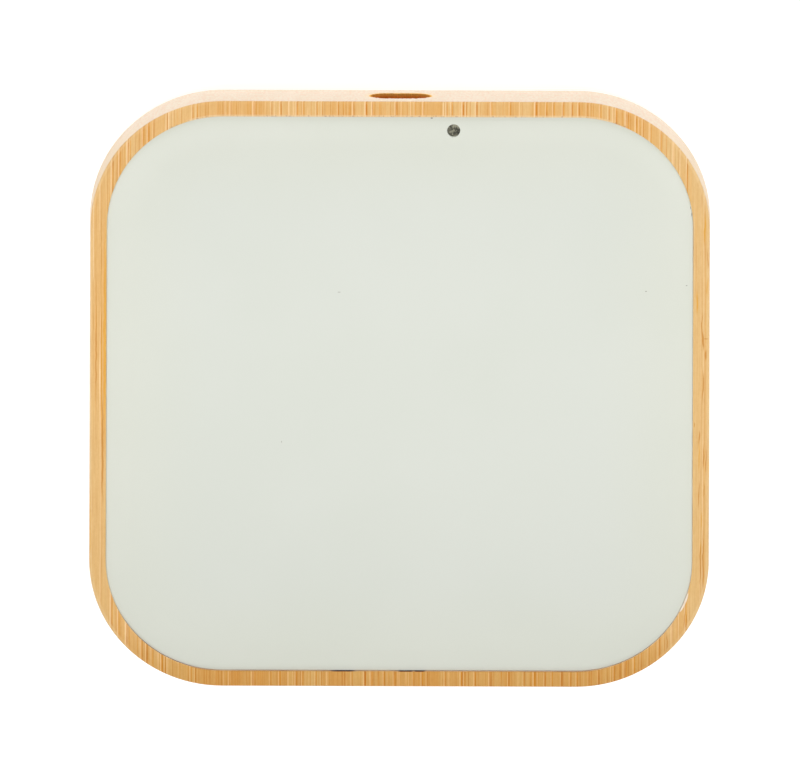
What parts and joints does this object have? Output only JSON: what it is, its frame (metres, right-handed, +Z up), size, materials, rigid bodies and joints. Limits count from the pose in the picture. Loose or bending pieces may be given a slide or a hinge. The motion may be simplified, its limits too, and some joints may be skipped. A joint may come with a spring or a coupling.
{
  "type": "wireless charging pad",
  "caption": "Square wireless charging pad with round corners: a bamboo frame, a crowned off-white cover, a status light and a cable port in the rear face.",
  "frame": {"origin": "on the surface that the pad stands on, under the middle of its frame", "axes": "+Z up through the charging surface, +Y towards the face with the cable port, +X to the right as seen from above with the port at the top"},
  "size_m": [0.1, 0.1, 0.0078],
  "materials": {
    "bamboo": "laminated bamboo, long grain along Y, satin clear finish, pale end grain on the front and rear faces",
    "cover_plastic": "off-white moulded plastic with a faint green cast, fine matte texture",
    "base_plastic": "off-white moulded plastic, matte spark-eroded texture",
    "foot_rubber": "dark grey matte silicone rubber",
    "screw_steel": "zinc-plated steel",
    "light_pipe_acrylic": "frosted grey acrylic, unlit",
    "connector_steel": "nickel-plated stainless steel, bright",
    "connector_insulator": "black glass-filled plastic",
    "board_green": "fibreglass board with green solder mask",
    "chip_epoxy": "black moulded epoxy",
    "capacitor_ceramic": "tan sintered ceramic with tinned ends",
    "resistor_glaze": "black glaze with tinned ends",
    "led_lens": "milky epoxy lens",
    "coil_copper": "enamelled copper strands wound flat",
    "wire_enamel": "enamelled stranded copper",
    "adhesive_tape": "white double-sided tape",
    "ferrite": "dark grey sintered ferrite, matte",
    "support_foam": "black closed-cell foam",
    "lead_sleeve": "white insulating sleeve",
    "thermistor_glass": "brown glass bead"
  },
  "bodies": {
    "root": {"bamboo_frame": "bamboo", "top_cover": "cover_plastic", "base_cover": "base_plastic", "status_light_pipe": "light_pipe_acrylic", "status_led": "led_lens", "circuit_board": "board_green", "usb_c_shell": "connector_steel", "usb_c_tongue": "connector_insulator", "controller_chip": "chip_epoxy", "bridge_mosfet_1": "chip_epoxy", "bridge_mosfet_2": "chip_epoxy", "current_sense_resistor": "resistor_glaze", "charging_coil": "coil_copper", "coil_adhesive_ring": "adhesive_tape", "coil_lead_inner": "wire_enamel", "coil_lead_outer": "wire_enamel", "ferrite_shield": "ferrite", "support_foam": "support_foam", "thermistor_bead": "thermistor_glass", "thermistor_lead": "lead_sleeve", "resonant_capacitor_1": "capacitor_ceramic", "screw_1": "screw_steel", "rubber_foot_1": "foot_rubber", "resonant_capacitor_2": "capacitor_ceramic", "screw_2": "screw_steel", "rubber_foot_2": "foot_rubber", "resonant_capacitor_3": "capacitor_ceramic", "screw_3": "screw_steel", "rubber_foot_3": "foot_rubber", "resonant_capacitor_4": "capacitor_ceramic", "screw_4": "screw_steel", "rubber_foot_4": "foot_rubber", "input_capacitor_1": "capacitor_ceramic", "input_capacitor_2": "capacitor_ceramic"}
  },
  "joints": []
}
